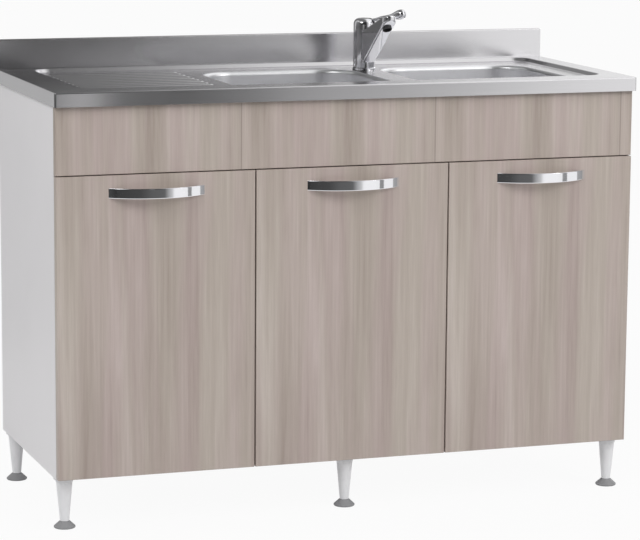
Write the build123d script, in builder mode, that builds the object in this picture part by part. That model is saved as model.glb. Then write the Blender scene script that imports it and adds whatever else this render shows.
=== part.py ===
from build123d import *
import math
import os

# Free-standing kitchen sink unit. Millimetres; +X runs to the right along the front, +Y to the
# wall behind and +Z up. The origin lies on the floor, under the middle of the overall box.

# Overall sizes
unit_width = 1200.0
sink_depth = 500.0
worktop_height = 850.0
upstand_height = 60.0
floor_gap = 100.0

# Boards and gaps
board = 16.0
side_overhang = 4.0
front_overhang = 10.0
wall_gap = 9.0
door_standoff = 2.0
door_gap = 3.0
fascia_height = 147.0
fascia_gap = 12.0
door_rise = 2.0
partition_x = -200.0
back_thickness = 3.0
back_margin = 6.0
back_gap = 10.0
cutout_width = 420.0
cutout_height = 320.0
cutout_shift = 30.0
cutout_drop = 8.0
cutout_corner = 12.0
shelf_height = 380.0
shelf_setback = 33.0
shelf_play = 1.0
pin_radius = 2.5
pin_length = 16.0
pin_play = 0.05
pin_inset = 50.0
rail_depth = 80.0
rail_gap = 3.0
rear_rail_height = 80.0
board_edge = 0.8
bracket_size = 25.0
bracket_height = 30.0
bracket_thick = 2.0
bracket_drop = 58.0

# Pressed sink top
sheet = 1.0
lip_height = 28.0
rim_round = 3.0
plan_corner = 4.0
upstand_thickness = 12.0
upstand_round = 2.0
pan_left = 67.0
pan_right = 43.0
pan_front = 60.0
pan_rear = 24.0
pan_drop = 8.0
pan_slope = 45.0
pan_corner = 38.0
pick_margin = 2.0
pick_slack = 0.01
pan_round = 5.0
rib_count = 10
rib_pitch = 32.0
rib_width = 15.0
rib_height = 2.6
rib_side_margin = 87.0
rib_bowl_margin = 33.0
rib_shift = 5.0
drainer_board_thick = 14.0
drainer_board_margin = 15.0

# Bowls
bowl_size = 335.0
bowl_depth = 150.0
bowl_corner = 70.0
bowl_lip = 8.0
bowl_floor_round = 34.0
bowl_gap = 50.0
bowl_side_margin = 90.0
bowl_front_margin = 67.5

# Wastes, strainers and trap
flange_radius = 56.0
flange_thick = 2.0
waste_throat = 40.0
waste_sleeve = 44.0
waste_wall = 2.5
waste_depth = 45.0
pipe_radius = 20.0
pipe_wall = 2.0
pipe_bend = 34.0
manifold_drop = 120.0
tail_socket = 15.0
trap_radius = 32.0
trap_length = 115.0
trap_drop = 55.0
trap_wall = 2.5
trap_collar = 16.0
trap_cup_depth = 34.0
trap_cup_lap = 14.0
outlet_drop = 26.0
outlet_socket = 22.0
bead_width = 4.0
bead_rise = 2.0
dip_gap = 22.0
pipe_play = 0.3
strainer_play = 0.5
strainer_depth = 26.0
strainer_wall = 1.2
strainer_taper = 5.0
basket_ledge = 2.5
hole_ring_radii = (14.0, 25.0)
hole_ring_counts = (8, 14)
hole_radius = 2.6
knob_radius = 7.0

# Doors, hinges and handles
hinge_from_end = 90.0
cup_radius = 17.5
cup_depth = 11.5
cup_inset = 22.5
cup_wall = 1.0
cup_play = 0.05
arm_length = 56.0
arm_width = 15.0
arm_height = 16.0
arm_gap = 5.0
arm_round = 2.5
plate_thick = 3.0
plate_height = 50.0
link_width = 12.0
link_reach = 5.0
handle_length = 190.0
handle_reach = 32.0
handle_height = 20.0
handle_thick = 5.0
handle_foot = 23.0
handle_below_top = 34.0
handle_edge = 1.6
screw_radius = 2.0
screw_hole = 2.25
screw_head = 4.0
screw_head_thick = 2.4
screw_bite = 6.0
screw_inset = 15.0
buffer_radius = 3.0
buffer_thick = 1.6

# Legs and feet
leg_top_radius = 17.0
leg_foot_radius = 9.0
leg_side_inset = 21.0
leg_front_inset = 21.0
leg_rear_inset = 31.0
leg_plate_radius = 21.0
leg_plate_thick = 3.0
foot_radius = 21.0
foot_height = 13.7
foot_rim = 3.0
foot_gap = 0.3
spindle_radius = 4.0
spindle_length = 26.0
spindle_play = 0.08
leg_top_band = 5.0
leg_step = 1.0
foot_neck = 9.5
foot_edge = 1.0

# Mixer tap
tap_setback = 34.5
tap_base_radius = 24.0
tap_base_height = 6.0
base_step = 2.0
tap_core_radius = 17.0
tap_core_height = 58.0
tap_sleeve_radius = 22.5
tap_height = 84.0
tap_play = 0.08
tap_gap = 0.4
cap_height = 17.0
cap_round = 12.0
stem_radius = 6.0
stem_height = 4.0
shank_radius = 16.5
shank_length = 50.0
shank_play = 1.0
nut_radius = 25.0
nut_thick = 9.0
inlet_radius = 4.5
inlet_depth = 12.0
inlet_spacing = 16.0
washer_thick = 2.0

# Spout, seen from the side: distance out from the tap's axis and height above its foot
spout_outline = (
    (0.0, 10.0),
    (30.0, 12.0),
    (164.0, 112.0),
    (164.0, 121.0),
    (24.0, 78.0),
    (0.0, 78.0),
)
spout_reach = 158.0
spout_width = 28.0
spout_edge = 4.0
aerator_radius = 9.5
aerator_lip = 1.6
aerator_height = 12.0
aerator_out = 133.0
aerator_up = 92.0
aerator_lean = 33.0

# Lever: its knob profile gives distance along the lever and radius
lever_turn = -45.0
lever_lean = 13.0
lever_slot = 9.0
lever_play = 0.35
lever_hub = 4.0
slot_back = 8.0
pivot_radius = 2.0
pivot_height = 8.5
pivot_half = 12.0
lever_neck = (26.0, 3.6)
lever_profile = (
    (38.0, 4.7),
    (62.0, 5.0),
    (72.0, 7.6),
    (80.0, 9.8),
    (87.0, 10.0),
    (93.0, 7.6),
)
lever_length = 96.0

# Planes that several pieces share
rear_y = (sink_depth - front_overhang + handle_reach) / 2
sink_front_y = rear_y - sink_depth
sink_mid_y = rear_y - sink_depth / 2
door_front_y = sink_front_y + front_overhang
door_back_y = door_front_y + board
carcass_front_y = door_back_y + door_standoff
carcass_rear_y = rear_y - wall_gap
body_side_x = unit_width / 2 - side_overhang
inner_side_x = body_side_x - board
floor_top = floor_gap + board
lip_bottom = worktop_height - lip_height
deck_z = worktop_height - pan_drop
deck_under_z = deck_z - sheet
bowl_floor_z = deck_z - bowl_depth
rim_under_z = worktop_height - sheet
fascia_top = worktop_height - fascia_gap
fascia_bottom = fascia_top - fascia_height
bracket_z = fascia_top - bracket_drop
back_top = worktop_height - back_gap
door_bottom = floor_gap + door_rise
door_top = fascia_bottom - door_standoff
rail_top = fascia_bottom - rail_gap
rail_bottom = rail_top - board
handle_z = door_top - handle_below_top
tap_base_top = deck_z + tap_base_height
tap_core_top = deck_z + tap_base_height + tap_core_height
tap_sleeve_top = tap_base_top + tap_height
cap_bottom = tap_sleeve_top + tap_gap
pivot_z = cap_bottom + pivot_height
hinge_heights = (door_bottom + hinge_from_end, door_top - hinge_from_end)
bracket_positions = (partition_x, -partition_x)
shelf_front_y = carcass_front_y + shelf_setback
pin_rows = (shelf_front_y + pin_inset, carcass_rear_y - pin_inset)
shelf_left_x = -inner_side_x
shelf_right_x = partition_x - board / 2
leg_x = body_side_x - leg_side_inset
leg_columns = (("left", -leg_x), ("middle", 0.0), ("right", leg_x))
leg_rows = (("front", carcass_front_y + leg_front_inset), ("rear", carcass_rear_y - leg_rear_inset))

# Each door's left and right edge, and the side that it is hinged on
seam_x = abs(partition_x)
door_spans = {
    "left": (-body_side_x, -seam_x - door_gap / 2, -1),
    "middle": (-seam_x + door_gap / 2, seam_x - door_gap / 2, -1),
    "right": (seam_x + door_gap / 2, body_side_x, 1),
}

# Bowls, the drainer beside them and the tap between them
bowl_right_x = unit_width / 2 - bowl_side_margin - bowl_size / 2
bowl_left_x = bowl_right_x - bowl_size - bowl_gap
bowl_y = sink_front_y + bowl_front_margin + bowl_size / 2
rib_start_x = -unit_width / 2 + rib_side_margin
rib_end_x = bowl_left_x - bowl_size / 2 - rib_bowl_margin
rib_y = sink_mid_y + (pan_front - pan_rear) / 2 - rib_shift
rib_span_y = rib_pitch * (rib_count - 1) + rib_width
tap_x = (bowl_left_x + bowl_right_x) / 2
tap_y = bowl_y + bowl_size / 2 - tap_setback
tap_place = [(tap_x, tap_y)]
lever_dir = (math.cos(math.radians(lever_turn)), math.sin(math.radians(lever_turn)))

# Wastes and pipes
waste_places = [(bowl_left_x, bowl_y), (bowl_right_x, bowl_y)]
flange_top = bowl_floor_z
flange_under = bowl_floor_z - flange_thick
sleeve_bottom = flange_under - waste_depth / 2
waste_top = flange_under - sheet
manifold_z = waste_top - manifold_drop
tail_bottom = manifold_z + pipe_bend
tee_x = (bowl_left_x + bowl_right_x) / 2
trap_top = manifold_z - trap_drop
trap_bottom = trap_top - trap_length
outlet_z = trap_top - outlet_drop
cutout_x = tee_x + cutout_shift
cutout_z = outlet_z - cutout_drop
socket_end_y = bowl_y + trap_radius + outlet_socket - trap_wall

os.makedirs("parts", exist_ok=True)


def save(piece, name):
    """Label a finished piece and write it under its own name."""
    piece.part.label = name
    export_step(piece.part, f"parts/{name}.step")


def upright(x, y):
    """Plane through (x, y) whose own axes are radius and height."""
    return Plane(origin=(x, y, 0), x_dir=(1, 0, 0), z_dir=(0, -1, 0))


def turned(outline, places):
    """Solid of revolution about a vertical axis at each place, from (radius, height) points."""
    with BuildPart() as piece:
        for x, y in places:
            with BuildSketch(upright(x, y)):
                with BuildLine():
                    Polyline(outline, close=True)
                make_face()
            revolve(axis=Axis((x, y, 0), (0, 0, 1)))
    return piece


def box_between(low, high, mode=Mode.ADD):
    """Box from its low corner to its high corner."""
    middle = [(a + b) / 2 for a, b in zip(low, high)]
    with Locations(tuple(middle)):
        Box(high[0] - low[0], high[1] - low[1], high[2] - low[2], mode=mode)


def board_between(low, high):
    """A plain board as a piece of its own."""
    with BuildPart() as piece:
        box_between(low, high)
    return piece


# ---------------------------------------------------------------- sink top and bowls
def top_form(inset):
    """Outside of the top and its upstand, drawn in by inset on every face but the open bottom."""
    top_z = worktop_height - inset
    with BuildPart() as form:
        with BuildSketch(Plane.XY.offset(lip_bottom)) as outline:
            with Locations((0, sink_mid_y)):
                Rectangle(unit_width - 2 * inset, sink_depth - 2 * inset)
            fillet(outline.vertices().group_by(Axis.Y)[0], plan_corner - inset)
        extrude(amount=top_z - lip_bottom)
        rim_edges = form.faces().sort_by(Axis.Z)[-1].edges().sort_by(Axis.Y)[:-1]
        fillet(rim_edges, rim_round - inset)
        box_between(
            (-unit_width / 2 + inset, rear_y - upstand_thickness + inset, lip_bottom),
            (unit_width / 2 - inset, rear_y - inset, top_z + upstand_height),
        )
        crest = form.faces().sort_by(Axis.Z)[-1].edges().filter_by(Axis.X)
        fillet(crest, upstand_round - inset / 2)
        with BuildSketch(Plane.XY.offset(top_z)):
            with Locations(((pan_left - pan_right) / 2, sink_mid_y + (pan_front - pan_rear) / 2)):
                RectangleRounded(
                    unit_width - pan_left - pan_right + 2 * inset,
                    sink_depth - pan_front - pan_rear + 2 * inset,
                    pan_corner + inset,
                )
        extrude(amount=-pan_drop, taper=pan_slope, mode=Mode.SUBTRACT)
        pan_edges = form.edges().filter_by(
            lambda edge: edge.center().Z > top_z - pan_drop - pick_slack
            and edge.center().Z < top_z + pick_slack
            and sink_front_y + pan_front / 2 < edge.center().Y
            and edge.center().Y < rear_y - upstand_thickness - pick_margin
            and abs(edge.center().X) < unit_width / 2 - pan_right / 2
        )
        level_edges = pan_edges.filter_by(lambda edge: abs(edge.start_point().Z - edge.end_point().Z) < 0.01)
        fillet(level_edges, pan_round)
    return form.part


def bowl_mouth(x):
    """Rounded square of a bowl's mouth, on the sketch plane in use."""
    with Locations((x, bowl_y)):
        RectangleRounded(bowl_size, bowl_size, bowl_corner + bowl_lip)


def drainer_ribs():
    """Shallow round ribs along the drainer, standing on the deck."""
    rib_radius = (rib_width ** 2 / 4 + rib_height ** 2) / (2 * rib_height)
    run = rib_end_x - rib_start_x - rib_width
    with BuildPart() as ribs:
        axis_z = deck_z + rib_height - rib_radius
        with Locations(((rib_start_x + rib_end_x) / 2, rib_y, axis_z)):
            with GridLocations(1, rib_pitch, 1, rib_count):
                Cylinder(rib_radius, run, rotation=(0, 90, 0))
            with GridLocations(run, rib_pitch, 2, rib_count):
                Sphere(rib_radius)
        split(bisect_by=Plane.XY.offset(deck_z - sheet / 2), keep=Keep.TOP)
    return ribs.part


def make_sink_top():
    outer = top_form(0)
    inner = top_form(sheet)
    ribs = drainer_ribs()
    with BuildPart() as sink_top:
        add(outer)
        add(inner, mode=Mode.SUBTRACT)
        add(ribs)
        with BuildSketch(Plane.XY.offset(worktop_height)):
            bowl_mouth(bowl_left_x)
            bowl_mouth(bowl_right_x)
        extrude(amount=-lip_height, mode=Mode.SUBTRACT)
        with Locations((tap_x, tap_y, deck_z)):
            Cylinder(shank_radius + shank_play, lip_height, mode=Mode.SUBTRACT)
    save(sink_top, "sink_top")


def bowl_form(x, grow):
    """Space inside a bowl and over its mouth, grown by grow on every face."""
    side = bowl_size - 2 * bowl_lip + 2 * grow
    mouth_z = deck_z - grow
    with BuildPart() as form:
        with BuildSketch(Plane.XY.offset(mouth_z)):
            with Locations((x, bowl_y)):
                RectangleRounded(bowl_size + 4 * bowl_lip, bowl_size + 4 * bowl_lip, bowl_corner)
        extrude(amount=bowl_lip)
        with BuildSketch(Plane.XY.offset(mouth_z)):
            with Locations((x, bowl_y)):
                RectangleRounded(side, side, bowl_corner + grow)
        extrude(amount=-bowl_depth)
        floor_edges = form.faces().sort_by(Axis.Z)[0].edges()
        fillet(floor_edges, bowl_floor_round + grow)
        throat_edges = form.edges().filter_by(
            lambda edge: abs(edge.center().Z - mouth_z) < 0.01
            and abs(edge.center().X - x) < side / 2 + 0.01
            and abs(edge.center().Y - bowl_y) < side / 2 + 0.01
        )
        fillet(throat_edges, bowl_lip - grow)
        with BuildSketch(Plane.XY.offset(bowl_floor_z - grow)):
            with Locations((x, bowl_y)):
                Circle(flange_radius + strainer_play + grow)
        extrude(amount=-flange_thick)
    return form.part


def make_bowl(name, x):
    cavity = bowl_form(x, 0)
    outside = bowl_form(x, sheet)
    with BuildPart() as bowl:
        with BuildSketch(Plane.XY.offset(deck_z)):
            bowl_mouth(x)
        extrude(amount=-bowl_depth - bowl_lip)
        add(outside, mode=Mode.INTERSECT)
        add(cavity, mode=Mode.SUBTRACT)
        with Locations((x, bowl_y, bowl_floor_z)):
            Cylinder(waste_sleeve + strainer_play, bowl_lip * 2, mode=Mode.SUBTRACT)
    save(bowl, name)


def make_drainer_board():
    half_depth = rib_span_y / 2 + drainer_board_margin
    low_x = rib_start_x - drainer_board_margin
    high_x = rib_end_x + drainer_board_margin
    low = (low_x, rib_y - half_depth, deck_under_z - drainer_board_thick)
    high = (high_x, rib_y + half_depth, deck_under_z)
    save(board_between(low, high), "drainer_board")


# ---------------------------------------------------------------- carcass
def pin_holes(face_x, outward):
    """Blind holes for two shelf pins, in the face at face_x that looks along outward."""
    for y in pin_rows:
        with Locations((face_x - outward * pin_length / 4, y, shelf_height - pin_radius)):
            Cylinder(
                pin_radius + pin_play,
                pin_length / 2 + pin_play,
                rotation=(0, 90, 0),
                mode=Mode.SUBTRACT,
            )


def make_side_panels():
    for name, side in (("side_panel_left", -1), ("side_panel_right", 1)):
        near, far = sorted((side * inner_side_x, side * body_side_x))
        with BuildPart() as panel:
            box_between((near, carcass_front_y, floor_gap), (far, carcass_rear_y, rim_under_z))
            if side < 0:
                pin_holes(shelf_left_x, 1)
        save(panel, name)


def make_bottom_panel():
    low = (-inner_side_x, carcass_front_y, floor_gap)
    save(board_between(low, (inner_side_x, carcass_rear_y, floor_top)), "bottom_panel")


def make_partition():
    with BuildPart() as partition:
        box_between(
            (partition_x - board / 2, carcass_front_y, floor_top),
            (partition_x + board / 2, carcass_rear_y, rail_bottom),
        )
        pin_holes(shelf_right_x, -1)
    save(partition, "partition")


def make_shelf():
    low = (shelf_left_x + shelf_play, shelf_front_y, shelf_height)
    high = (shelf_right_x - shelf_play, carcass_rear_y, shelf_height + board)
    save(board_between(low, high), "shelf")


def make_shelf_pins():
    with BuildPart() as pins:
        for x in (shelf_left_x, shelf_right_x):
            for y in pin_rows:
                with Locations((x, y, shelf_height - pin_radius)):
                    Cylinder(pin_radius, pin_length, rotation=(0, 90, 0))
    save(pins, "shelf_pins")


def make_rails():
    front_low = (-inner_side_x, carcass_front_y, rail_bottom)
    front_high = (inner_side_x, carcass_front_y + rail_depth, rail_top)
    save(board_between(front_low, front_high), "front_rail")
    rear_low = (-inner_side_x, carcass_rear_y - board, fascia_top - rear_rail_height)
    save(board_between(rear_low, (inner_side_x, carcass_rear_y, fascia_top)), "rear_rail")


def make_back_panel():
    half = body_side_x - back_margin
    with BuildPart() as back_panel:
        box_between(
            (-half, carcass_rear_y, floor_gap + back_margin),
            (half, carcass_rear_y + back_thickness, back_top),
        )
        with BuildSketch(Plane.XZ.offset(-carcass_rear_y)):
            with Locations((cutout_x, cutout_z)):
                RectangleRounded(cutout_width, cutout_height, cutout_corner)
        extrude(amount=-back_thickness, mode=Mode.SUBTRACT)
    save(back_panel, "back_panel")


# ---------------------------------------------------------------- fascia
def make_fascia():
    with BuildPart() as fascia:
        box_between(
            (-body_side_x, carcass_front_y - board, fascia_bottom),
            (body_side_x, carcass_front_y, fascia_top),
        )
        front = fascia.faces().sort_by(Axis.Y)[0]
        chamfer(front.edges(), board_edge)
        for x in bracket_positions:
            with Locations((x, carcass_front_y - screw_bite / 2, rail_top + bracket_size / 2)):
                Cylinder(screw_radius, screw_bite, rotation=(90, 0, 0), mode=Mode.SUBTRACT)
    save(fascia, "fascia")


def make_fascia_brackets():
    with BuildPart() as brackets:
        for side in (-1, 1):
            corner = side * inner_side_x
            inward = corner - side * bracket_size
            thin = corner - side * bracket_thick
            low_z = bracket_z - bracket_height / 2
            high_z = bracket_z + bracket_height / 2
            x0, x1 = sorted((corner, inward))
            box_between((x0, carcass_front_y, low_z), (x1, carcass_front_y + bracket_thick, high_z))
            x0, x1 = sorted((corner, thin))
            box_between((x0, carcass_front_y, low_z), (x1, carcass_front_y + bracket_size, high_z))
        for x in bracket_positions:
            x0 = x - bracket_height / 2
            x1 = x + bracket_height / 2
            y1 = carcass_front_y + bracket_size
            box_between((x0, carcass_front_y, rail_top), (x1, y1, rail_top + bracket_thick))
            y1 = carcass_front_y + bracket_thick
            box_between((x0, carcass_front_y, rail_top), (x1, y1, rail_top + bracket_size))
            with Locations((x, carcass_front_y, rail_top + bracket_size / 2)):
                Cylinder(screw_hole, bracket_size, rotation=(90, 0, 0), mode=Mode.SUBTRACT)
    save(brackets, "fascia_brackets")


def make_bracket_screws():
    """Round-head screws that hold the fascia's middle brackets."""
    with BuildPart() as screws:
        face_y = carcass_front_y + bracket_thick
        for x in bracket_positions:
            with Locations((x, face_y + screw_head_thick / 2, rail_top + bracket_size / 2)):
                Cylinder(screw_head, screw_head_thick, rotation=(90, 0, 0))
            length = bracket_thick + screw_bite
            with Locations((x, face_y - length / 2, rail_top + bracket_size / 2)):
                Cylinder(screw_radius, length, rotation=(90, 0, 0))
    save(screws, "bracket_screws")


# ---------------------------------------------------------------- legs and feet
def make_legs():
    top_z = floor_gap - leg_plate_thick
    bottom_z = foot_height + foot_gap
    bore = spindle_radius + spindle_play
    bore_top = foot_height + spindle_length + foot_gap
    outline = [
        (0, top_z),
        (leg_top_radius, top_z),
        (leg_top_radius, top_z - leg_top_band),
        (leg_top_radius - leg_step, top_z - leg_top_band - leg_step),
        (leg_foot_radius, bottom_z),
        (bore, bottom_z),
        (bore, bore_top),
        (0, bore_top),
    ]
    for row, y in leg_rows:
        for column, x in leg_columns:
            save(turned(outline, [(x, y)]), f"leg_{row}_{column}")


def make_feet():
    outline = [
        (0, 0),
        (foot_radius - foot_edge, 0),
        (foot_radius, foot_edge),
        (foot_radius, foot_rim),
        (foot_radius - foot_edge, foot_rim + foot_edge),
        (foot_neck, foot_height),
        (spindle_radius, foot_height),
        (spindle_radius, foot_height + spindle_length),
        (0, foot_height + spindle_length),
    ]
    for row, y in leg_rows:
        for column, x in leg_columns:
            save(turned(outline, [(x, y)]), f"foot_{row}_{column}")


def make_leg_plates():
    places = [(x, y) for _, y in leg_rows for _, x in leg_columns]
    low_z = floor_gap - leg_plate_thick
    outline = [(0, low_z), (leg_plate_radius, low_z), (leg_plate_radius, floor_gap), (0, floor_gap)]
    save(turned(outline, places), "leg_plates")


# ---------------------------------------------------------------- doors
def hinge_edge_x(name):
    """X of the door's hinged edge, and the way from it into the door."""
    left, right, side = door_spans[name]
    if side < 0:
        return left, 1
    return right, -1


def handle_screw_places(name):
    left, right, _ = door_spans[name]
    middle = (left + right) / 2
    offset = handle_length / 2 - screw_inset
    return [(middle - offset, handle_z), (middle + offset, handle_z)]


def make_doors():
    for name, (left, right, _) in door_spans.items():
        edge_x, inward = hinge_edge_x(name)
        with BuildPart() as door:
            box_between((left, door_front_y, door_bottom), (right, door_back_y, door_top))
            chamfer(door.faces().sort_by(Axis.Y)[0].edges(), board_edge)
            for z in hinge_heights:
                with Locations((edge_x + inward * cup_inset, door_back_y - cup_depth / 2, z)):
                    Cylinder(cup_radius, cup_depth, rotation=(90, 0, 0), mode=Mode.SUBTRACT)
            for x, z in handle_screw_places(name):
                with Locations((x, (door_front_y + door_back_y) / 2, z)):
                    Cylinder(screw_hole, board, rotation=(90, 0, 0), mode=Mode.SUBTRACT)
        save(door, f"door_{name}")


def make_hinge_cups():
    """Cups let into the doors, each with its flange and the knuckle of its links."""
    for name in door_spans:
        edge_x, inward = hinge_edge_x(name)
        cup_x = edge_x + inward * cup_inset
        outer = cup_radius - cup_play
        with BuildPart() as cups:
            for z in hinge_heights:
                with Locations((cup_x, door_back_y - cup_depth / 2, z)):
                    Cylinder(outer, cup_depth, rotation=(90, 0, 0))
                with Locations((cup_x, door_back_y + cup_wall / 2, z)):
                    Box(2 * cup_radius, cup_wall, plate_height)
                hollow = cup_depth - cup_wall
                with Locations((cup_x, door_back_y + cup_wall - hollow / 2, z)):
                    Cylinder(outer - cup_wall, hollow, rotation=(90, 0, 0), mode=Mode.SUBTRACT)
                knuckle = cup_depth - cup_wall + link_reach
                with Locations((cup_x, door_back_y - cup_depth + cup_wall + knuckle / 2, z)):
                    Box(link_width, knuckle, link_width)
        save(cups, f"hinge_cups_{name}")


def hinge_carriers():
    """Panel face that carries each door's hinges, and the way out of that face."""
    return {
        "left": (-inner_side_x, 1),
        "middle": (partition_x + board / 2, 1),
        "right": (inner_side_x, -1),
    }


def make_hinge_plates():
    with BuildPart() as plates:
        for face_x, outward in hinge_carriers().values():
            x0, x1 = sorted((face_x, face_x + outward * plate_thick))
            for z in hinge_heights:
                y0 = carcass_front_y + arm_gap + arm_length / 3
                y1 = carcass_front_y + arm_gap + arm_length
                box_between((x0, y0, z - plate_height / 2), (x1, y1, z + plate_height / 2))
    save(plates, "hinge_plates")


def make_hinge_arms():
    with BuildPart() as arms:
        for face_x, outward in hinge_carriers().values():
            near_x = face_x + outward * plate_thick
            x0, x1 = sorted((near_x, near_x + outward * arm_width))
            y0 = carcass_front_y + arm_gap
            for z in hinge_heights:
                box_between((x0, y0, z - arm_height / 2), (x1, y0 + arm_length, z + arm_height / 2))
        long_edges = arms.edges().filter_by(Axis.Y)
        fillet(long_edges, arm_round)
    save(arms, "hinge_arms")


def bow_wires(middle, half, reach):
    """Edges around the space between a door and an arc that stands out from it."""
    ends = ((middle - half, door_front_y), (middle + half, door_front_y))
    arc = Edge.make_three_point_arc(ends[0], (middle, door_front_y - reach), ends[1])
    return [arc, Edge.make_line(ends[1], ends[0])]


def make_handles():
    """Flat bow: two arcs in plan, with a solid foot at each end."""
    half = handle_length / 2
    inner_half = half - handle_foot / 2
    for name, (left, right, _) in door_spans.items():
        middle = (left + right) / 2
        with BuildPart() as handle:
            with BuildSketch(Plane.XY.offset(handle_z - handle_height / 2)):
                make_face(bow_wires(middle, half, handle_reach))
                make_face(bow_wires(middle, inner_half, handle_reach - handle_thick), mode=Mode.SUBTRACT)
                for side in (-1, 1):
                    foot_x = middle + side * (half - handle_foot / 2)
                    with Locations((foot_x, door_front_y - handle_foot / 4)):
                        Rectangle(handle_foot / 2, handle_foot / 2)
                make_face(bow_wires(middle, half, handle_reach), mode=Mode.INTERSECT)
            extrude(amount=handle_height)
            bow_edges = handle.edges().filter_by(
                lambda edge: edge.geom_type == GeomType.CIRCLE and edge.length > handle_length / 2
            )
            fillet(bow_edges, handle_edge)
            for x, z in handle_screw_places(name):
                with Locations((x, door_front_y - screw_bite / 2, z)):
                    Cylinder(screw_radius, screw_bite, rotation=(90, 0, 0), mode=Mode.SUBTRACT)
        save(handle, f"handle_{name}")


def make_handle_screws():
    for name in door_spans:
        with BuildPart() as screws:
            for x, z in handle_screw_places(name):
                with Locations((x, door_back_y + screw_head_thick / 2, z)):
                    Cylinder(screw_head, screw_head_thick, rotation=(90, 0, 0))
                length = board + screw_bite
                with Locations((x, door_back_y - length / 2, z)):
                    Cylinder(screw_radius, length, rotation=(90, 0, 0))
        save(screws, f"handle_screws_{name}")


def make_door_buffers():
    """Small clear pads on the carcass that the closed doors come up to."""
    inset = 4 * buffer_radius
    pad_x = (-seam_x - inset, seam_x - inset, seam_x + inset)
    with BuildPart() as buffers:
        for x in pad_x:
            for z in ((rail_bottom + rail_top) / 2, (floor_gap + floor_top) / 2):
                with Locations((x, carcass_front_y - buffer_thick / 2, z)):
                    Cylinder(buffer_radius, buffer_thick, rotation=(90, 0, 0))
    save(buffers, "door_buffers")


# ---------------------------------------------------------------- wastes and trap
def make_waste_flanges():
    outline = [
        (waste_throat, sleeve_bottom),
        (waste_sleeve, sleeve_bottom),
        (waste_sleeve, flange_under),
        (flange_radius, flange_under),
        (flange_radius, flange_top - flange_thick / 2),
        (flange_radius - flange_thick, flange_top),
        (waste_throat + basket_ledge, flange_top),
        (waste_throat + basket_ledge, flange_under),
        (waste_throat, flange_under),
    ]
    save(turned(outline, waste_places), "waste_flanges")


def make_strainers():
    """Lift-out basket with a rim, a holed floor and a knob."""
    rim = waste_throat + basket_ledge - strainer_play
    wall = waste_throat - strainer_play
    floor_z = flange_under - strainer_depth
    outline = [
        (0, floor_z),
        (wall - strainer_taper, floor_z),
        (wall, flange_under),
        (rim, flange_under),
        (rim, flange_under + strainer_wall),
        (wall - strainer_wall, flange_under + strainer_wall),
        (wall - strainer_taper - strainer_wall, floor_z + strainer_wall),
        (knob_radius / 2, floor_z + strainer_wall),
        (knob_radius / 2, flange_under - knob_radius),
        (knob_radius, flange_under - knob_radius / 2),
        (knob_radius, flange_under),
        (0, flange_under),
    ]
    for name, place in zip(("strainer_left", "strainer_right"), waste_places):
        with BuildPart() as strainer:
            add(turned(outline, [place]).part)
            for ring, count in zip(hole_ring_radii, hole_ring_counts):
                with Locations((place[0], place[1], floor_z)):
                    with PolarLocations(ring, count):
                        Cylinder(hole_radius, 4 * strainer_wall, mode=Mode.SUBTRACT)
        save(strainer, name)


def make_waste_bodies():
    """Cup under each bowl that draws the flange down and narrows to the pipe."""
    inner = waste_sleeve + pipe_play
    cup_floor = waste_top - waste_depth
    socket_top = tail_bottom + tail_socket
    outline = [
        (inner, waste_top),
        (inner + 3 * waste_wall, waste_top),
        (inner + 3 * waste_wall, waste_top - waste_wall),
        (inner + waste_wall, waste_top - 2 * waste_wall),
        (inner + waste_wall, cup_floor + waste_wall),
        (inner, cup_floor - waste_wall),
        (pipe_radius + waste_wall, cup_floor - waste_wall),
        (pipe_radius + waste_wall, tail_bottom),
        (pipe_radius + pipe_play, tail_bottom),
        (pipe_radius + pipe_play, socket_top),
        (pipe_radius - pipe_wall, socket_top),
        (pipe_radius - pipe_wall, cup_floor),
        (inner, cup_floor + waste_wall),
    ]
    save(turned(outline, waste_places), "waste_bodies")


def make_waste_pipe():
    """Pipe that joins both wastes, with a tee down into the trap."""
    top_z = tail_bottom + tail_socket
    route = [
        (bowl_left_x, bowl_y, top_z),
        (bowl_left_x, bowl_y, manifold_z),
        (bowl_right_x, bowl_y, manifold_z),
        (bowl_right_x, bowl_y, top_z),
    ]
    dip_bottom = trap_bottom + dip_gap
    with BuildPart() as waste_pipe:
        with BuildLine() as line:
            FilletPolyline(*route, radius=pipe_bend)
        with BuildSketch(Plane.XY.offset(top_z)):
            with Locations((bowl_left_x, bowl_y)):
                Circle(pipe_radius)
        sweep(path=line.line)
        box_low = (manifold_z + dip_bottom) / 2
        with Locations((tee_x, bowl_y, box_low)):
            Cylinder(pipe_radius, manifold_z - dip_bottom)
        with BuildSketch(Plane.XY.offset(top_z)):
            with Locations((bowl_left_x, bowl_y)):
                Circle(pipe_radius - pipe_wall)
        sweep(path=line.line, mode=Mode.SUBTRACT)
        with Locations((tee_x, bowl_y, box_low)):
            Cylinder(pipe_radius - pipe_wall, manifold_z - dip_bottom, mode=Mode.SUBTRACT)
    save(waste_pipe, "waste_pipe")


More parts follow.
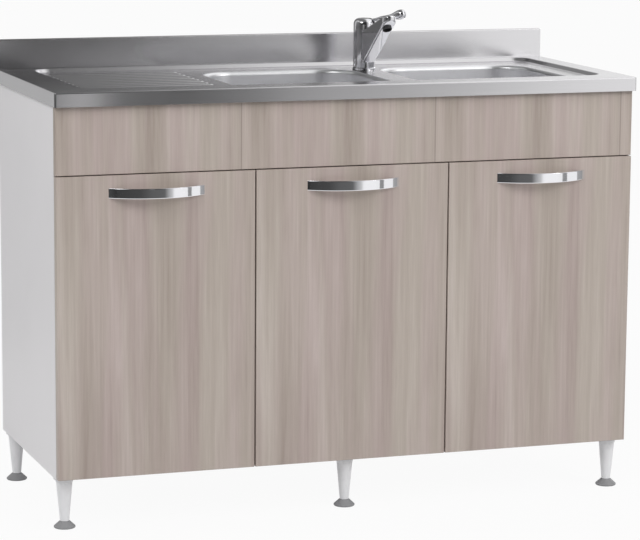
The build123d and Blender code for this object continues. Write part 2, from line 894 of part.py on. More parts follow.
def make_trap():
    """Bottle trap: a body with a collar on top and a side socket, and a cup screwed on below."""
    bore = pipe_radius + pipe_play
    middle_z = (trap_top + trap_bottom) / 2
    socket_y = socket_end_y - outlet_socket / 2
    with BuildPart() as trap_body:
        with Locations((tee_x, bowl_y, middle_z)):
            Cylinder(trap_radius, trap_length)
        with Locations((tee_x, bowl_y, trap_top + trap_collar / 2)):
            Cylinder(bore + trap_wall, trap_collar)
        with Locations((tee_x, socket_y, outlet_z)):
            Cylinder(bore + trap_wall, outlet_socket, rotation=(90, 0, 0))
        with Locations((tee_x, bowl_y, middle_z - trap_wall / 2)):
            Cylinder(trap_radius - trap_wall, trap_length - trap_wall, mode=Mode.SUBTRACT)
        with Locations((tee_x, bowl_y, trap_top)):
            Cylinder(bore, 2 * trap_collar, mode=Mode.SUBTRACT)
        with Locations((tee_x, socket_y, outlet_z)):
            Cylinder(bore, outlet_socket + trap_wall, rotation=(90, 0, 0), mode=Mode.SUBTRACT)
    save(trap_body, "trap_body")
    lap_top = trap_bottom + trap_cup_lap
    cup_bottom = trap_bottom - trap_cup_depth
    inner = trap_radius + pipe_play
    outline = [
        (0, cup_bottom),
        (trap_radius - 3 * trap_wall, cup_bottom),
        (trap_radius, cup_bottom + 3 * trap_wall),
        (trap_radius, trap_bottom - 2 * trap_wall),
        (inner + trap_wall, trap_bottom - trap_wall),
        (inner + trap_wall, lap_top),
        (inner, lap_top),
        (inner, trap_bottom),
        (trap_radius - trap_wall, trap_bottom),
        (trap_radius - trap_wall, cup_bottom + 3 * trap_wall),
        (trap_radius - 4 * trap_wall, cup_bottom + trap_wall),
        (0, cup_bottom + trap_wall),
    ]
    save(turned(outline, [(tee_x, bowl_y)]), "trap_cup")


def make_outlet_pipe():
    """Pipe to the wall, with a bead that stops it at the trap's socket."""
    start_y = bowl_y + trap_radius
    length = rear_y - start_y
    with BuildPart() as outlet_pipe:
        with Locations((tee_x, start_y + length / 2, outlet_z)):
            Cylinder(pipe_radius, length, rotation=(90, 0, 0))
        with Locations((tee_x, socket_end_y + bead_width / 2, outlet_z)):
            Cylinder(pipe_radius + bead_rise, bead_width, rotation=(90, 0, 0))
        with Locations((tee_x, start_y + length / 2, outlet_z)):
            Cylinder(pipe_radius - pipe_wall, length, rotation=(90, 0, 0), mode=Mode.SUBTRACT)
    save(outlet_pipe, "outlet_pipe")


# ---------------------------------------------------------------- mixer tap
def make_tap_base():
    """Foot ring on the deck, with the core that the sleeve turns on."""
    outline = [
        (0, deck_z),
        (tap_base_radius, deck_z),
        (tap_base_radius, tap_base_top - base_step),
        (tap_base_radius - base_step, tap_base_top),
        (tap_core_radius, tap_base_top),
        (tap_core_radius, tap_core_top),
        (0, tap_core_top),
    ]
    save(turned(outline, tap_place), "tap_base")


def make_tap_cartridge():
    """Mixing cartridge above the core, with the stem that the cap turns on."""
    body = tap_core_radius - tap_play
    outline = [
        (0, tap_core_top),
        (body, tap_core_top),
        (body, tap_sleeve_top),
        (stem_radius, tap_sleeve_top),
        (stem_radius, cap_bottom + stem_height),
        (0, cap_bottom + stem_height),
    ]
    save(turned(outline, tap_place), "tap_cartridge")


def make_spout():
    """Sleeve that swivels on the core, cast in one with a blade-like spout that rises to the front."""
    sleeve_low = tap_base_top + tap_gap
    sleeve_mid = (sleeve_low + tap_sleeve_top) / 2
    sleeve_height = tap_sleeve_top - sleeve_low
    side_plane = Plane(origin=(tap_x, tap_y, tap_base_top), x_dir=(0, -1, 0), z_dir=(-1, 0, 0))
    top_plane = Plane(origin=(tap_x, tap_y, tap_base_top), x_dir=(0, -1, 0), z_dir=(0, 0, 1))
    with BuildPart() as spout:
        with BuildSketch(side_plane):
            with BuildLine():
                Polyline(spout_outline, close=True)
            make_face()
        extrude(amount=spout_width, both=True)
        with BuildSketch(top_plane):
            with Locations((spout_reach / 2 - spout_width / 2, 0)):
                SlotOverall(spout_reach + spout_width, spout_width)
        extrude(amount=tap_sleeve_top, mode=Mode.INTERSECT)
        long_edges = [
            edge
            for edge in spout.edges()
            if edge.center().Y < tap_y - tap_core_radius and abs(edge.tangent_at(0.5).Z) < 0.9
        ]
        fillet(long_edges, spout_edge)
        with Locations((tap_x, tap_y, sleeve_mid)):
            Cylinder(tap_sleeve_radius, sleeve_height)
            Cylinder(tap_core_radius + tap_play, sleeve_height, mode=Mode.SUBTRACT)
        with Locations(aerator_plane()):
            Cylinder(aerator_radius, aerator_height, mode=Mode.SUBTRACT)
    save(spout, "spout")


def aerator_plane():
    """Plane in the middle of the aerator, looking along its own axis."""
    lean = math.radians(aerator_lean)
    return Plane(
        origin=(tap_x, tap_y - aerator_out, tap_base_top + aerator_up),
        x_dir=(1, 0, 0),
        z_dir=(0, math.sin(lean), math.cos(lean)),
    )


def make_aerator():
    """Outlet ring under the tip, with its mesh plate set back inside."""
    with BuildPart() as aerator:
        with Locations(aerator_plane()):
            Cylinder(aerator_radius, aerator_height)
        with Locations(aerator_plane().offset(-aerator_height / 2)):
            Cylinder(aerator_radius - aerator_lip, aerator_height, mode=Mode.SUBTRACT)
    save(aerator, "aerator")


def lever_plane(z):
    """Level plane at height z whose own X runs out along the lever."""
    return Plane(origin=(tap_x, tap_y, z), x_dir=(lever_dir[0], lever_dir[1], 0), z_dir=(0, 0, 1))


def pivot_plane():
    """Upright plane through the tap's axis that looks across the lever, from its pivot."""
    return Plane(
        origin=(tap_x, tap_y, pivot_z),
        x_dir=(lever_dir[0], lever_dir[1], 0),
        z_dir=(lever_dir[1], -lever_dir[0], 0),
    )


def make_lever_cap():
    """Domed cap on the stem, slotted for the lever and bored across for its pin."""
    with BuildPart() as lever_cap:
        with Locations((tap_x, tap_y, cap_bottom + cap_height / 2)):
            Cylinder(tap_sleeve_radius, cap_height)
        fillet(lever_cap.faces().sort_by(Axis.Z)[-1].edges(), cap_round)
        with Locations((tap_x, tap_y, cap_bottom + stem_height / 2)):
            Cylinder(stem_radius + tap_play, stem_height + tap_gap, mode=Mode.SUBTRACT)
        slot_low = pivot_z - lever_hub - lever_play
        with BuildSketch(lever_plane(slot_low)):
            with Locations((tap_sleeve_radius / 2, 0)):
                Rectangle(tap_sleeve_radius + 2 * slot_back, lever_slot)
        extrude(amount=cap_height, mode=Mode.SUBTRACT)
        with Locations(pivot_plane()):
            Cylinder(pivot_radius + tap_play, 2 * pivot_half, mode=Mode.SUBTRACT)
    save(lever_cap, "lever_cap")


def lever_axis_plane():
    """Plane from the pivot whose own X runs up along the leaning lever."""
    lean = math.radians(lever_lean)
    return Plane(
        origin=(tap_x, tap_y, pivot_z),
        x_dir=(lever_dir[0] * math.cos(lean), lever_dir[1] * math.cos(lean), math.sin(lean)),
        z_dir=(lever_dir[1], -lever_dir[0], 0),
    )


def make_lever():
    """Round lever that swells to a knob, turned about its own axis, with its hub and pin."""
    axis_plane = lever_axis_plane()
    with BuildPart() as lever:
        with BuildSketch(axis_plane):
            with BuildLine():
                Polyline((0, 0), (0, lever_neck[1]), lever_neck)
                Spline(
                    lever_neck,
                    *lever_profile,
                    (lever_length, 0),
                    tangents=((1, 0), (0, -1)),
                )
                Line((lever_length, 0), (0, 0))
            make_face()
        revolve(axis=Axis(axis_plane.origin, axis_plane.x_dir))
        with Locations(pivot_plane()):
            Cylinder(lever_hub, lever_slot - 2 * lever_play)
            Cylinder(pivot_radius, 2 * (pivot_half - lever_play))
    save(lever, "lever")


def make_tap_shank():
    """Threaded shank below the deck, with two blind inlets for the supplies."""
    bottom = deck_z - shank_length
    with BuildPart() as tap_shank:
        with Locations((tap_x, tap_y, deck_z - shank_length / 2)):
            Cylinder(shank_radius, shank_length)
        with Locations((tap_x, tap_y, bottom + inlet_depth / 2)):
            with GridLocations(inlet_spacing, 1, 2, 1):
                Cylinder(inlet_radius, inlet_depth, mode=Mode.SUBTRACT)
    save(tap_shank, "tap_shank")


def make_tap_nut():
    """Hexagon nut and washer that clamp the tap to the deck."""
    top_z = deck_under_z
    with BuildPart() as tap_nut:
        with BuildSketch(Plane.XY.offset(top_z - washer_thick)):
            with Locations((tap_x, tap_y)):
                Circle(nut_radius)
        extrude(amount=washer_thick)
        with BuildSketch(Plane.XY.offset(top_z - washer_thick - nut_thick)):
            with Locations((tap_x, tap_y)):
                RegularPolygon(nut_radius, 6)
        extrude(amount=nut_thick)
        with Locations((tap_x, tap_y, top_z)):
            Cylinder(shank_radius + tap_play, 4 * nut_thick, mode=Mode.SUBTRACT)
    save(tap_nut, "tap_nut")


make_sink_top()
make_bowl("bowl_left", bowl_left_x)
make_bowl("bowl_right", bowl_right_x)
make_drainer_board()
make_side_panels()
make_bottom_panel()
make_partition()
make_shelf()
make_shelf_pins()
make_rails()
make_back_panel()
make_fascia()
make_fascia_brackets()
make_bracket_screws()
make_legs()
make_feet()
make_leg_plates()
make_doors()
make_hinge_cups()
make_hinge_plates()
make_hinge_arms()
make_handles()
make_handle_screws()
make_door_buffers()
make_waste_flanges()
make_strainers()
make_waste_bodies()
make_waste_pipe()
make_trap()
make_outlet_pipe()
make_tap_base()
make_tap_cartridge()
make_spout()
make_aerator()
make_lever_cap()
make_lever()
make_tap_shank()
make_tap_nut()
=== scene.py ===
import math

import bpy
from mathutils import Matrix, Vector

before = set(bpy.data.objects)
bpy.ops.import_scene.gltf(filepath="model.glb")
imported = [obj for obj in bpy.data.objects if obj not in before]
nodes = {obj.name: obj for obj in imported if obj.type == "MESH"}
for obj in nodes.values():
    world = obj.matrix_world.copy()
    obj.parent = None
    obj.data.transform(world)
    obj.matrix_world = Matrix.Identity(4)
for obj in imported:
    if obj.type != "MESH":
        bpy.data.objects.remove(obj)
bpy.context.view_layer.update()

COLUMNS = ("left", "middle", "right")
ROWS = ("front", "rear")

# Camera, as fitted to the photograph (metres, degrees, and the focal length in photo pixels)
PHOTO_WIDTH = 640
CAMERA_PLACE = Vector((-1.831, -5.307, 1.386))
CAMERA_YAW = 19.145
CAMERA_PITCH = 9.491
CAMERA_ROLL = 0.40
FOCAL_PIXELS = 2786.0
SENSOR_WIDTH = 36.0
CLIP_NEAR = 0.1
CLIP_FAR = 200

# Decor: one print repeats across the doors and the fascia (metres)
PRINT_WIDTH = 0.400
FASCIA_SEAM_X = -0.229
DOOR_SEAM_X = -0.200

# How dark a seam is, and how far from it the darkening starts and is full (metres)
FASCIA_SEAM_DARK = 0.45
DOOR_SEAM_DARK = 0.0
SEAM_FADE_START = 0.0022
SEAM_FADE_FULL = 0.0008

# How much each layer of the print counts
BROAD_SHARE = 0.60
FIGURE_SHARE = 0.36
STREAK_SHARE = 0.20
FIBRE_SHARE = 0.14

# Studio: what the world and the floor give, and the two lamps (metres and watts)
WORLD_LIGHT = 0.62
FLOOR_SIZE = 90.0
FLOOR_SELF_WHITE = 0.94
KEY_PLACE = (2.6, -3.6, 2.9)
KEY_TARGET = (0.1, -0.1, 0.5)
KEY_SIZE = (1.8, 1.8)
KEY_POWER = 65
FILL_PLACE = (-2.5, -1.8, 2.9)
FILL_TARGET = (-0.3, 0.0, 0.6)
FILL_SIZE = (1.6, 1.6)
FILL_POWER = 32

# The cards of light stand round the part like a box that is mostly open at the right (metres)
CARDS_LEFT = -2.6
CARDS_RIGHT = 2.2
CARDS_FRONT = -2.2
CARDS_REAR = 1.6
CARDS_TOP = 3.6
LOW_CARD_TOP = 0.5
LIP_CARD_TOP = 0.8
REAR_CARD_RIGHT = 2.0
REAR_CARD_TOP = 4.5
SIDE_CARD_TOP = 3.0

WHITE = (1.0, 1.0, 1.0, 1.0)


def srgb(red, green, blue):
    """Colour given as 0-255 screen values, as the linear colour that a shader takes."""
    def linear(value):
        share = value / 255
        return share / 12.92 if share <= 0.04045 else ((share + 0.055) / 1.055) ** 2.4
    return (linear(red), linear(green), linear(blue), 1.0)


def darker(colour, share):
    """The colour with its red, green and blue scaled by share."""
    return tuple(share * part for part in colour[:3]) + (1,)


# ---------------------------------------------------------------- node helpers
class Shader:
    """A material with short ways to add and link its nodes."""

    def __init__(self, name, roughness=0.5, metallic=0.0):
        self.material = bpy.data.materials.new(name)
        self.material.use_nodes = True
        self.tree = self.material.node_tree
        self.bsdf = self.tree.nodes["Principled BSDF"]
        self.bsdf.inputs["Roughness"].default_value = roughness
        self.bsdf.inputs["Metallic"].default_value = metallic

    def add(self, kind, **settings):
        made = self.tree.nodes.new(kind)
        for key, value in settings.items():
            setattr(made, key, value)
        return made

    def link(self, source, target):
        self.tree.links.new(source, target)

    def feed(self, sockets, values):
        """Give each socket its value: a number, a colour or another node's output."""
        for socket, value in zip(sockets, values):
            if isinstance(value, (int, float, tuple)):
                socket.default_value = value
            else:
                self.link(value, socket)

    def object_coords(self):
        return self.add("ShaderNodeTexCoord").outputs["Object"]

    def place(self, scale, offset=(0, 0, 0), coords=None):
        """Object coordinates, or the ones given, stretched by scale."""
        mapping = self.add("ShaderNodeMapping")
        mapping.inputs["Scale"].default_value = scale
        mapping.inputs["Location"].default_value = offset
        self.link(coords or self.object_coords(), mapping.inputs["Vector"])
        return mapping.outputs["Vector"]

    def noise(self, vector, scale=1.0, detail=3.0, roughness=0.5, distortion=0.0):
        made = self.add("ShaderNodeTexNoise")
        made.inputs["Scale"].default_value = scale
        made.inputs["Detail"].default_value = detail
        made.inputs["Roughness"].default_value = roughness
        made.inputs["Distortion"].default_value = distortion
        self.link(vector, made.inputs["Vector"])
        return made.outputs["Fac"]

    def ramp(self, value, stops):
        """Colours between (position, colour) stops."""
        made = self.add("ShaderNodeValToRGB")
        ramp = made.color_ramp
        while len(ramp.elements) < len(stops):
            ramp.elements.new(0.5)
        for element, (position, colour) in zip(ramp.elements, stops):
            element.position = position
            element.color = colour
        self.link(value, made.inputs["Fac"])
        return made.outputs["Color"]

    def span(self, value, low, high, to_low, to_high):
        """Value mapped from one range to another."""
        made = self.add("ShaderNodeMapRange")
        ends = [made.inputs[name] for name in ("From Min", "From Max", "To Min", "To Max")]
        self.feed(ends, (low, high, to_low, to_high))
        self.link(value, made.inputs["Value"])
        return made.outputs["Result"]

    def math(self, operation, *values):
        made = self.add("ShaderNodeMath", operation=operation)
        self.feed(made.inputs, values)
        return made.outputs[0]

    def mix(self, factor, first, second, blend="MIX"):
        made = self.add("ShaderNodeMix", data_type="RGBA", blend_type=blend)
        self.feed((made.inputs[0], made.inputs[6], made.inputs[7]), (factor, first, second))
        return made.outputs[2]

    def bump(self, height, distance, strength):
        made = self.add("ShaderNodeBump")
        made.inputs["Distance"].default_value = distance
        made.inputs["Strength"].default_value = strength
        self.link(height, made.inputs["Height"])
        self.link(made.outputs["Normal"], self.bsdf.inputs["Normal"])

    def colour(self, value):
        self.feed([self.bsdf.inputs["Base Color"]], [value])

    def roughen(self, value):
        self.link(value, self.bsdf.inputs["Roughness"])

    def glow(self, colour):
        """Light given off, in a colour or a node's output."""
        made = self.add("ShaderNodeEmission")
        self.feed([made.inputs["Color"]], [colour])
        return made.outputs[0]

    def surface(self, source):
        self.link(source, self.tree.nodes["Material Output"].inputs["Surface"])


def dress(material, *names):
    """Give CAD nodes a material."""
    for name in names:
        slots = nodes[name].material_slots
        for index in range(len(slots)):
            slots[index].material = material


def each(stem, *choices):
    """Node names made of the stem and one end from each group, such as leg_front_left."""
    names = [stem]
    for ends in choices:
        names = [f"{name}_{end}" for name in names for end in ends]
    return names


# ---------------------------------------------------------------- materials
def elm_decor(name, seam_x, seam_dark):
    """Grey-beige elm print: upright figure, streaks and fine fibres that repeat every print width."""
    shader = Shader(name, roughness=0.5)
    split = shader.add("ShaderNodeSeparateXYZ")
    shader.link(shader.object_coords(), split.inputs[0])
    wrapped = shader.math("WRAP", split.outputs["X"], seam_x + PRINT_WIDTH, seam_x)
    across = shader.math("SUBTRACT", wrapped, seam_x)
    joined = shader.add("ShaderNodeCombineXYZ")
    shader.feed(joined.inputs, (across, split.outputs["Y"], split.outputs["Z"]))
    coords = joined.outputs[0]

    broad = shader.noise(
        shader.place((11, 4, 0.9), (3.1, 0, 0.4), coords),
        detail=2, distortion=0.25,
    )
    figure = shader.noise(
        shader.place((46, 10, 2.3), (1.7, 0, 2.2), coords),
        detail=4, roughness=0.6, distortion=0.5,
    )
    streaks = shader.noise(
        shader.place((150, 30, 2.6), (0, 0, 5), coords),
        detail=3, roughness=0.55,
    )
    fibres = shader.noise(
        shader.place((620, 120, 16), (0, 0, 0), coords),
        detail=3, roughness=0.6,
    )
    tone = shader.math("MULTIPLY", broad, BROAD_SHARE)
    for layer, share in ((figure, FIGURE_SHARE), (streaks, STREAK_SHARE), (fibres, FIBRE_SHARE)):
        tone = shader.math("ADD", tone, shader.math("MULTIPLY", layer, share))
    base = shader.ramp(tone, (
        (0.44, srgb(156, 141, 134)),
        (0.56, srgb(175, 161, 154)),
        (0.66, srgb(186, 173, 166)),
        (0.80, srgb(202, 190, 184)),
    ))
    warmth = shader.noise(shader.place((24, 6, 1.2), (7, 0, 1), coords), detail=2)
    warm = shader.ramp(warmth, ((0.38, (0.975, 1.0, 0.955, 1)), (0.62, (1.0, 0.965, 0.985, 1))))
    base = shader.mix(0.8, base, warm, "MULTIPLY")

    half = PRINT_WIDTH / 2
    off_centre = shader.math("ABSOLUTE", shader.math("SUBTRACT", across, half))
    seam = shader.span(off_centre, half - SEAM_FADE_START, half - SEAM_FADE_FULL, 0.0, seam_dark)
    shader.colour(shader.mix(seam, base, srgb(120, 104, 98)))
    shader.roughen(shader.span(fibres, 0.3, 0.7, 0.42, 0.56))
    relief = shader.math("ADD", fibres, shader.math("MULTIPLY", streaks, 0.5))
    shader.bump(relief, distance=0.00012, strength=0.5)
    return shader.material


def white_board(name, tint):
    """White melamine with soft clouds in its tone and gloss, and a faint orange-peel."""
    shader = Shader(name, roughness=0.42)
    cloud = shader.noise(shader.place((3, 3, 3)))
    shader.colour(shader.ramp(cloud, ((0.35, darker(tint, 0.965)), (0.65, tint))))
    shader.roughen(shader.span(cloud, 0.3, 0.7, 0.36, 0.50))
    peel = shader.noise(shader.place((420, 420, 420)), detail=2)
    shader.bump(peel, distance=0.00005, strength=0.35)
    return shader.material


def brushed_steel(name, tint, rough, along, wear):
    """Satin stainless steel, with hairlines that run along X, Y or Z."""
    shader = Shader(name, roughness=rough, metallic=1.0)
    stretch = [900.0, 900.0, 900.0]
    stretch["XYZ".index(along)] = 5.0
    hairlines = shader.noise(shader.place(tuple(stretch)), detail=4, roughness=0.65)
    cloud = shader.noise(shader.place((7, 9, 7)), detail=4, roughness=0.6)
    shade = shader.span(hairlines, 0.25, 0.75, 0.965, 1.02)
    shader.colour(shader.mix(1.0, tint, shade, "MULTIPLY"))
    shader.roughen(shader.math(
        "ADD",
        shader.span(cloud, 0.3, 0.7, rough - wear, rough + wear),
        shader.span(hairlines, 0.3, 0.7, -0.015, 0.015),
    ))
    shader.bump(hairlines, distance=0.00003, strength=0.15)
    return shader.material


def chrome(name, tint, rough):
    """Polished plating with faint wipe marks."""
    shader = Shader(name, roughness=rough, metallic=1.0)
    shader.colour(tint)
    wipe = shader.noise(shader.place((60, 60, 25)), detail=5, roughness=0.7, distortion=0.6)
    shader.roughen(shader.span(wipe, 0.35, 0.75, rough * 0.7, rough * 1.9))
    return shader.material


def moulded(name, tint, rough):
    """Moulded plastic or rubber with a fine spark-eroded grain."""
    shader = Shader(name, roughness=rough)
    cloud = shader.noise(shader.place((22, 22, 22)))
    shader.colour(shader.ramp(cloud, ((0.3, darker(tint, 0.93)), (0.7, tint))))
    shader.roughen(shader.span(cloud, 0.3, 0.7, rough - 0.06, rough + 0.06))
    grain = shader.noise(shader.place((1400, 1400, 1400)), detail=2)
    shader.bump(grain, distance=0.00003, strength=0.5)
    return shader.material


def raw_chipboard(name):
    """Pressed chips of several tones, each chip flatter than it is wide."""
    shader = Shader(name, roughness=0.85)
    chips = shader.add("ShaderNodeTexVoronoi")
    chips.inputs["Scale"].default_value = 1.0
    shader.link(shader.place((160, 160, 420)), chips.inputs["Vector"])
    shader.colour(shader.ramp(chips.outputs["Color"], (
        (0.0, srgb(146, 118, 84)),
        (0.5, srgb(186, 156, 116)),
        (1.0, srgb(214, 188, 150)),
    )))
    shader.bump(chips.outputs["Distance"], distance=0.0003, strength=0.5)
    return shader.material


def plated(name, tint, rough):
    """Zinc-plated or turned metal with a mottled lustre."""
    shader = Shader(name, roughness=rough, metallic=1.0)
    spangle = shader.noise(shader.place((180, 180, 180)), detail=4, roughness=0.7)
    shader.colour(shader.ramp(spangle, ((0.35, darker(tint, 0.82)), (0.7, tint))))
    shader.roughen(shader.span(spangle, 0.3, 0.7, rough - 0.08, rough + 0.10))
    return shader.material


def dress_boards():
    dress(elm_decor("elm_doors", DOOR_SEAM_X, DOOR_SEAM_DARK), *each("door", COLUMNS))
    dress(elm_decor("elm_fascia", FASCIA_SEAM_X, FASCIA_SEAM_DARK), "fascia")
    white = white_board("white_melamine", srgb(238, 236, 238))
    dress(white, "side_panel_left", "side_panel_right", "bottom_panel", "partition", "shelf")
    dress(white, "front_rail", "rear_rail")
    dress(white_board("back_hardboard", srgb(214, 211, 206)), "back_panel")
    dress(raw_chipboard("raw_chipboard"), "drainer_board")


def dress_metal():
    top = brushed_steel("steel_top", srgb(222, 221, 223), rough=0.20, along="X", wear=0.015)
    # Painted light: the bowls use the top's steel with a lighter tint (244 against 222), which stands
    # in for light falling into the bowls.
    bowl = brushed_steel("steel_bowl", srgb(244, 244, 246), rough=0.34, along="Z", wear=0.02)
    bright = chrome("chrome_bright", srgb(236, 236, 239), rough=0.06)
    zinc = plated("zinc_steel", srgb(186, 188, 192), rough=0.34)
    brass = plated("turned_brass", srgb(205, 170, 104), rough=0.30)
    dress(top, "sink_top")
    dress(bowl, "bowl_left", "bowl_right")
    dress(bright, "tap_base", "spout", "lever_cap", "lever", *each("handle", COLUMNS))
    dress(bright, "waste_flanges", "strainer_left", "strainer_right")
    dress(zinc, "fascia_brackets", "bracket_screws", "shelf_pins", "hinge_plates", "hinge_arms")
    dress(zinc, *each("hinge_cups", COLUMNS), *each("handle_screws", COLUMNS))
    dress(brass, "tap_shank", "tap_nut")


def dress_plastic():
    dress(moulded("leg_white", srgb(246, 246, 248), rough=0.34), *each("leg", ROWS, COLUMNS))
    dress(moulded("plate_white", srgb(226, 226, 228), rough=0.45), "leg_plates")
    dress(moulded("foot_grey", srgb(150, 150, 152), rough=0.5), *each("foot", ROWS, COLUMNS))
    dress(moulded("clear_pad", srgb(205, 205, 200), rough=0.3), "door_buffers")
    pipes = moulded("pipe_white", srgb(226, 227, 228), rough=0.4)
    dress(pipes, "waste_bodies", "waste_pipe", "trap_body", "trap_cup", "outlet_pipe")
    dress(moulded("cartridge_plastic", srgb(214, 212, 202), rough=0.45), "tap_cartridge")
    dress(moulded("aerator_dark", srgb(58, 58, 60), rough=0.5), "aerator")


# ---------------------------------------------------------------- camera, world, floor and lamps
def add_to_scene(name, data):
    made = bpy.data.objects.new(name, data)
    bpy.context.scene.collection.objects.link(made)
    return made


def make_camera():
    yaw = math.radians(CAMERA_YAW)
    pitch = math.radians(CAMERA_PITCH)
    roll = math.radians(CAMERA_ROLL)
    forward = Vector((
        math.sin(yaw) * math.cos(pitch),
        math.cos(yaw) * math.cos(pitch),
        -math.sin(pitch),
    ))
    right = Vector((math.cos(yaw), -math.sin(yaw), 0))
    up = right.cross(forward)
    rolled_right = right * math.cos(roll) + up * math.sin(roll)
    rolled_up = -right * math.sin(roll) + up * math.cos(roll)
    data = bpy.data.cameras.new("photo_camera")
    data.sensor_width = SENSOR_WIDTH
    data.lens = FOCAL_PIXELS / PHOTO_WIDTH * SENSOR_WIDTH
    data.clip_start = CLIP_NEAR
    data.clip_end = CLIP_FAR
    camera = add_to_scene("photo_camera", data)
    turn = Matrix((rolled_right, rolled_up, -forward)).transposed()
    camera.matrix_world = Matrix.Translation(CAMERA_PLACE) @ turn.to_4x4()
    bpy.context.scene.camera = camera


def seen_white(tree):
    """One where the camera, a reflection or a see-through ray looks, else nought."""
    path = tree.nodes.new("ShaderNodeLightPath")
    total = path.outputs["Is Camera Ray"]
    for output in ("Is Glossy Ray", "Is Transmission Ray"):
        adder = tree.nodes.new("ShaderNodeMath")
        adder.operation = "MAXIMUM"
        tree.links.new(total, adder.inputs[0])
        tree.links.new(path.outputs[output], adder.inputs[1])
        total = adder.outputs[0]
    return total


def make_world():
    """White where it is seen, and WORLD_LIGHT as bright where it lights the part."""
    world = bpy.data.worlds.new("studio")
    world.use_nodes = True
    tree = world.node_tree
    background = tree.nodes["Background"]
    strength = tree.nodes.new("ShaderNodeMapRange")
    strength.inputs["To Min"].default_value = WORLD_LIGHT
    strength.inputs["To Max"].default_value = 1.0
    tree.links.new(seen_white(tree), strength.inputs["Value"])
    tree.links.new(strength.outputs["Result"], background.inputs["Strength"])
    background.inputs["Color"].default_value = WHITE
    bpy.context.scene.world = world


def make_sheet(name, corners, shader):
    """One flat face with the shader's material."""
    mesh = bpy.data.meshes.new(name)
    mesh.from_pydata(corners, [], [tuple(range(len(corners)))])
    mesh.materials.append(shader.material)
    return add_to_scene(name, mesh)


def make_floor():
    """Pale floor that glows white where it is seen, apart from a small lit share that takes shadows."""
    shader = Shader("pale_floor", roughness=0.9)
    shader.colour(srgb(206, 206, 206))
    blend = shader.add("ShaderNodeMixShader")
    share = shader.math("MULTIPLY", seen_white(shader.tree), FLOOR_SELF_WHITE)
    shader.feed(blend.inputs, (share, shader.bsdf.outputs[0], shader.glow(WHITE)))
    shader.surface(blend.outputs[0])
    half = FLOOR_SIZE / 2
    corners = [(-half, -half, 0), (half, -half, 0), (half, half, 0), (-half, half, 0)]
    floor = make_sheet("floor", corners, shader)


def make_lamp(name, place, target, size, power):
    """Area lamp that looks at its target."""
    data = bpy.data.lights.new(name, "AREA")
    data.shape = "RECTANGLE"
    data.size, data.size_y = size
    data.energy = power
    lamp = add_to_scene(name, data)
    lamp.location = place
    look = Vector(target) - Vector(place)
    lamp.rotation_mode = "QUATERNION"
    lamp.rotation_quaternion = look.to_track_quat("-Z", "Y")


# ---------------------------------------------------------------- cards of light
def make_card(name, corners, axis, stops):
    """Glowing card that only reflections see, shaded along one axis by (metres, strength) stops."""
    shader = Shader(name)
    split = shader.add("ShaderNodeSeparateXYZ")
    shader.link(shader.object_coords(), split.inputs[0])
    low = stops[0][0]
    high = stops[-1][0]
    share = shader.span(split.outputs[axis], low, high, 0.0, 1.0)
    shades = [((place - low) / (high - low), (level, level, level, 1)) for place, level in stops]
    shader.surface(shader.glow(shader.ramp(share, shades)))
    card = make_sheet(name, corners, shader)
    card.visible_camera = False
    card.visible_diffuse = False
    card.visible_shadow = False
    card.visible_transmission = False


def upright(start, end, low, high):
    """Corners of a standing card, from the two ends of its line on the floor plan."""
    return [(*start, low), (*end, low), (*end, high), (*start, high)]


def make_front_cards():
    """Three cards across the front, one above another."""
    start = (CARDS_LEFT, CARDS_FRONT)
    end = (CARDS_RIGHT, CARDS_FRONT)
    make_card("card_front_low", upright(start, end, 0.0, LOW_CARD_TOP), "X", (
        (CARDS_LEFT, 0.05), (-0.90, 0.07), (-0.30, 0.12), (0.20, 0.13), (0.36, 0.14),
        (0.60, 0.40), (0.85, 0.62), (1.00, 0.95), (1.15, 1.0), (CARDS_RIGHT, 1.0),
    ))
    make_card("card_front_lip", upright(start, end, LOW_CARD_TOP, LIP_CARD_TOP), "X", (
        (CARDS_LEFT, 0.13), (-0.30, 0.13), (0.20, 0.12), (0.38, 0.10), (0.52, 0.45),
        (0.90, 0.45), (1.12, 0.60), (1.30, 0.84), (1.50, 0.96), (CARDS_RIGHT, 1.0),
    ))
    make_card("card_front_high", upright(start, end, LIP_CARD_TOP, CARDS_TOP), "X", (
        (CARDS_LEFT, 0.02), (-0.30, 0.03), (0.30, 0.04), (0.56, 0.32),
        (0.90, 0.46), (1.15, 0.80), (1.35, 1.0), (CARDS_RIGHT, 1.0),
    ))


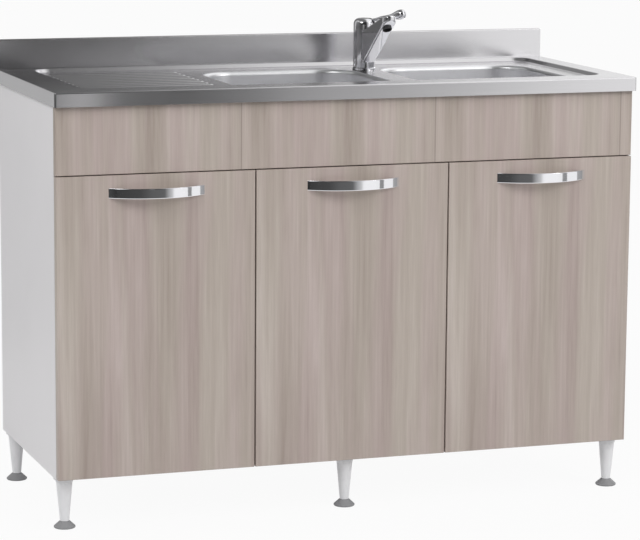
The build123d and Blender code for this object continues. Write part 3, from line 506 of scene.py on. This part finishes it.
def make_rear_card():
    """Card behind the part, which the level deck mirrors."""
    start = (CARDS_LEFT, CARDS_REAR)
    end = (REAR_CARD_RIGHT, CARDS_REAR)
    make_card("card_rear", upright(start, end, 0.0, REAR_CARD_TOP), "X", (
        (CARDS_LEFT, 0.42), (-1.30, 0.50), (-0.80, 0.50), (-0.60, 0.10), (0.10, 0.18),
        (0.40, 0.24), (0.80, 0.46), (1.20, 0.85), (REAR_CARD_RIGHT, 1.0),
    ))


def make_top_card():
    """Level card above the part."""
    corners = [
        (CARDS_LEFT, CARDS_FRONT, CARDS_TOP), (CARDS_RIGHT, CARDS_FRONT, CARDS_TOP),
        (CARDS_RIGHT, CARDS_REAR, CARDS_TOP), (CARDS_LEFT, CARDS_REAR, CARDS_TOP),
    ]
    make_card("card_top", corners, "X", (
        (CARDS_LEFT, 0.22), (-0.60, 0.20), (-0.20, 0.15), (0.20, 0.15),
        (0.50, 0.34), (0.80, 0.78), (1.10, 1.0), (CARDS_RIGHT, 1.0),
    ))


def make_lip_bar():
    """Small bar close in front, for the left end of the front lip."""
    left = -0.44
    right = -0.34
    front = -0.9
    corners = upright((left, front), (right, front), 0.68, 0.86)
    make_card("card_lip_bar", corners, "X", ((left, 0.50), (right, 0.70)))


def make_side_cards():
    """A dark card on the left, and on the right a grey bar and a grey end card."""
    left = upright((CARDS_LEFT, CARDS_FRONT), (CARDS_LEFT, CARDS_REAR), 0.0, SIDE_CARD_TOP)
    make_card("card_left", left, "Y", ((CARDS_FRONT, 0.03), (CARDS_REAR, 0.25)))
    bar = upright((2.58, -2.10), (2.84, -1.76), 0.0, SIDE_CARD_TOP)
    make_card("card_right_bar", bar, "X", ((2.58, 0.30), (2.84, 0.30)))
    end = upright((3.1, -0.75), (3.1, 0.6), 0.0, SIDE_CARD_TOP)
    make_card("card_right_end", end, "Y", ((-0.75, 0.42), (0.6, 0.25)))


# ---------------------------------------------------------------- the scene
make_camera()
make_world()
make_floor()
make_lamp("key", KEY_PLACE, KEY_TARGET, KEY_SIZE, KEY_POWER)
make_lamp("fill", FILL_PLACE, FILL_TARGET, FILL_SIZE, FILL_POWER)
make_front_cards()
make_rear_card()
make_top_card()
make_lip_bar()
make_side_cards()
dress_boards()
dress_metal()
dress_plastic()

bpy.context.scene.view_settings.view_transform = "Standard"
